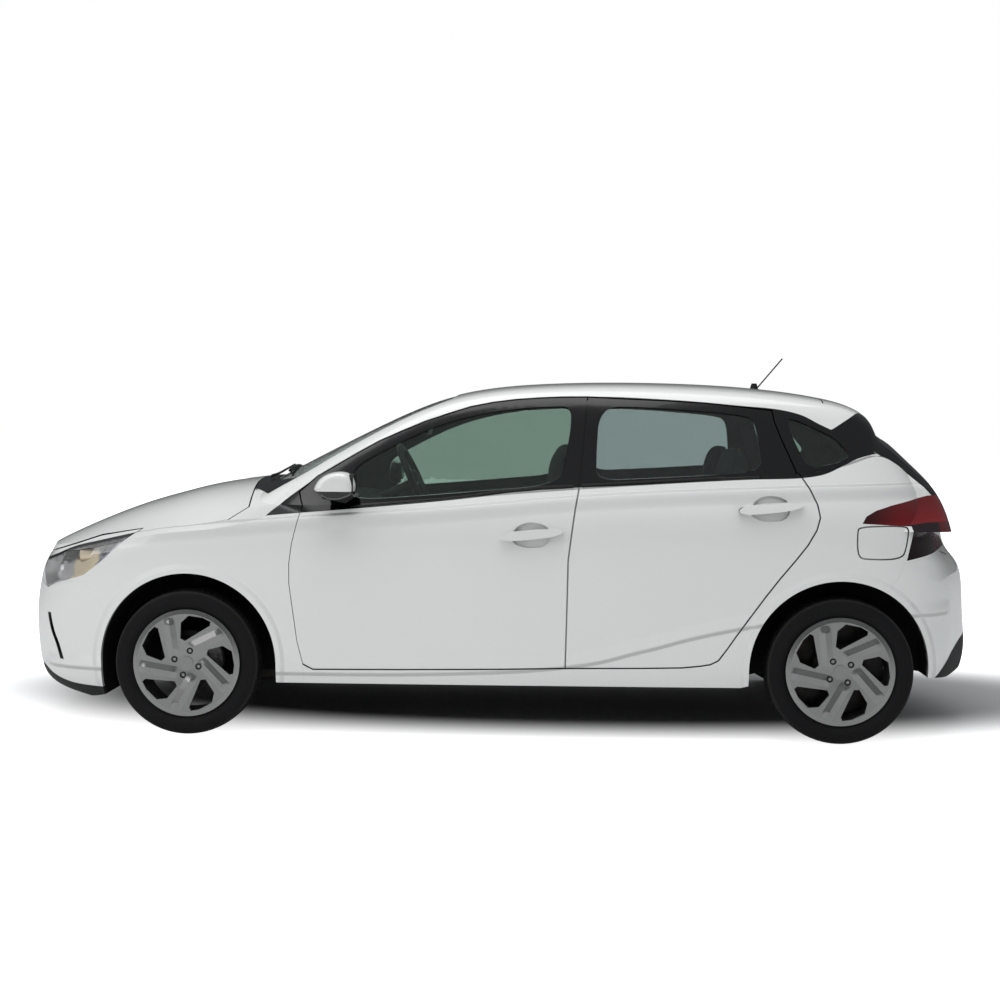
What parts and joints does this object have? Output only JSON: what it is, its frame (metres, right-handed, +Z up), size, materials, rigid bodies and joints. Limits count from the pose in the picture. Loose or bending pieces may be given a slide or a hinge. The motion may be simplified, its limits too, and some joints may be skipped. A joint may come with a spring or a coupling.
{
  "type": "five-door hatchback car",
  "caption": "White five-door hatchback car with opening doors, bonnet, tailgate and fuel flap, steered front wheels and freely turning wheels.",
  "frame": {"origin": "on the ground below the middle of the bounding box", "axes": "+X towards the rear of the car, +Y towards its right-hand side, +Z up"},
  "size_m": [3.9829, 2.035, 1.5465],
  "materials": {
    "paint_white": "gloss",
    "glass_tinted": "gloss",
    "glass_clear": "gloss",
    "lamp_clear": "gloss",
    "lamp_bowl": "gloss",
    "lamp_red": "gloss",
    "plastic_black": "matte",
    "plastic_grey": "matte",
    "steel_dark": "satin",
    "aluminium_cast": "rough",
    "wheel_silver": "satin",
    "rubber_tyre": "matte",
    "fabric_seat": "matte",
    "floor_dark": "satin"
  },
  "bodies": {
    "car": {"body_side_left": "paint_white", "body_side_right": "paint_white", "roof": "paint_white", "windscreen": "glass_clear", "quarter_glass": "glass_tinted", "cowl": "plastic_black", "front_wings": "paint_white", "front_bumper": "paint_white", "rear_bumper": "paint_white", "headlamps": "lamp_clear", "headlamp_units": "lamp_bowl", "front_grille": "plastic_black", "tail_lamps": "lamp_red", "bulkhead": "floor_dark", "floor_pan": "floor_dark", "wheel_housings": "plastic_black", "engine_block": "aluminium_cast", "radiator": "aluminium_cast", "front_subframe": "steel_dark", "front_struts": "steel_dark", "rear_axle": "steel_dark", "fuel_tank": "plastic_black", "exhaust": "steel_dark", "dashboard": "plastic_grey", "front_seat_left": "fabric_seat", "front_seat_right": "fabric_seat", "rear_seat": "fabric_seat", "antenna": "plastic_black", "jack_pads": "steel_dark"},
    "bonnet_lid": {"bonnet": "paint_white"},
    "tailgate_lid": {"tailgate": "paint_white", "tailgate_glass": "glass_tinted", "tailgate_lamps": "lamp_red"},
    "fuel_flap_lid": {"fuel_flap": "paint_white"},
    "front_door_l": {"front_door_left": "paint_white", "front_door_glass_left": "glass_tinted", "mirror_left": "paint_white"},
    "front_door_r": {"front_door_right": "paint_white", "front_door_glass_right": "glass_tinted", "mirror_right": "paint_white"},
    "rear_door_l": {"rear_door_left": "paint_white", "rear_door_glass_left": "glass_tinted"},
    "rear_door_r": {"rear_door_right": "paint_white", "rear_door_glass_right": "glass_tinted"},
    "knuckle_l": {"knuckle_left": "steel_dark"},
    "knuckle_r": {"knuckle_right": "steel_dark"},
    "wheel_fl": {"tyre_front_left": "rubber_tyre", "wheel_front_left": "wheel_silver"},
    "wheel_fr": {"tyre_front_right": "rubber_tyre", "wheel_front_right": "wheel_silver"},
    "wheel_rl": {"tyre_rear_left": "rubber_tyre", "wheel_rear_left": "wheel_silver"},
    "wheel_rr": {"tyre_rear_right": "rubber_tyre", "wheel_rear_right": "wheel_silver"},
    "steering": {"steering_wheel": "plastic_black"}
  },
  "joints": [
    {"name": "front_door_left_hinge", "type": "hinge", "parent": "car", "child": "front_door_l", "pos_m": [-0.81978, -0.8875, 0.6], "axis": [0, 0, 1], "range_deg": [-62, 0]},
    {"name": "front_door_right_hinge", "type": "hinge", "parent": "car", "child": "front_door_r", "pos_m": [-0.81978, 0.8875, 0.6], "axis": [0, 0, 1], "range_deg": [0, 62]},
    {"name": "rear_door_left_hinge", "type": "hinge", "parent": "car", "child": "rear_door_l", "pos_m": [0.27464, -0.8875, 0.6], "axis": [0, 0, 1], "range_deg": [-62, 0]},
    {"name": "rear_door_right_hinge", "type": "hinge", "parent": "car", "child": "rear_door_r", "pos_m": [0.27464, 0.8875, 0.6], "axis": [0, 0, 1], "range_deg": [0, 62]},
    {"name": "bonnet_hinge", "type": "hinge", "parent": "car", "child": "bonnet_lid", "pos_m": [-1.008, 0, 1.04], "axis": [0, 1, 0], "range_deg": [0, 48]},
    {"name": "tailgate_hinge", "type": "hinge", "parent": "car", "child": "tailgate_lid", "pos_m": [1.30406, 0, 1.393], "axis": [0, 1, 0], "range_deg": [-75, 0]},
    {"name": "fuel_flap_hinge", "type": "hinge", "parent": "car", "child": "fuel_flap_lid", "pos_m": [1.4045, -0.872, 0.798], "axis": [0, 0, 1], "range_deg": [-85, 0]},
    {"name": "steer_left", "type": "hinge", "parent": "car", "child": "knuckle_l", "pos_m": [-1.2325, -0.7, 0.29], "axis": [0, 0, 1], "range_deg": [-32, 32]},
    {"name": "steer_right", "type": "hinge", "parent": "car", "child": "knuckle_r", "pos_m": [-1.2325, 0.7, 0.29], "axis": [0, 0, 1], "range_deg": [-32, 32]},
    {"name": "steering_wheel_turn", "type": "hinge", "parent": "car", "child": "steering", "pos_m": [-0.43, 0.36, 0.975], "axis": [0.9063, 0, 0.4226], "range_deg": [-448, 448]},
    {"name": "wheel_fl_spin", "type": "hinge", "parent": "knuckle_l", "child": "wheel_fl", "pos_m": [-1.2325, -0.77, 0.29], "axis": [0, 1, 0], "continuous": true},
    {"name": "wheel_fr_spin", "type": "hinge", "parent": "knuckle_r", "child": "wheel_fr", "pos_m": [-1.2325, 0.77, 0.29], "axis": [0, 1, 0], "continuous": true},
    {"name": "wheel_rl_spin", "type": "hinge", "parent": "car", "child": "wheel_rl", "pos_m": [1.3475, -0.77, 0.29], "axis": [0, 1, 0], "continuous": true},
    {"name": "wheel_rr_spin", "type": "hinge", "parent": "car", "child": "wheel_rr", "pos_m": [1.3475, 0.77, 0.29], "axis": [0, 1, 0], "continuous": true}
  ],
  "couplings": [
    {"joint": "steer_right", "follows": "steer_left", "ratio": 1},
    {"joint": "steering_wheel_turn", "follows": "steer_left", "ratio": 14}
  ]
}
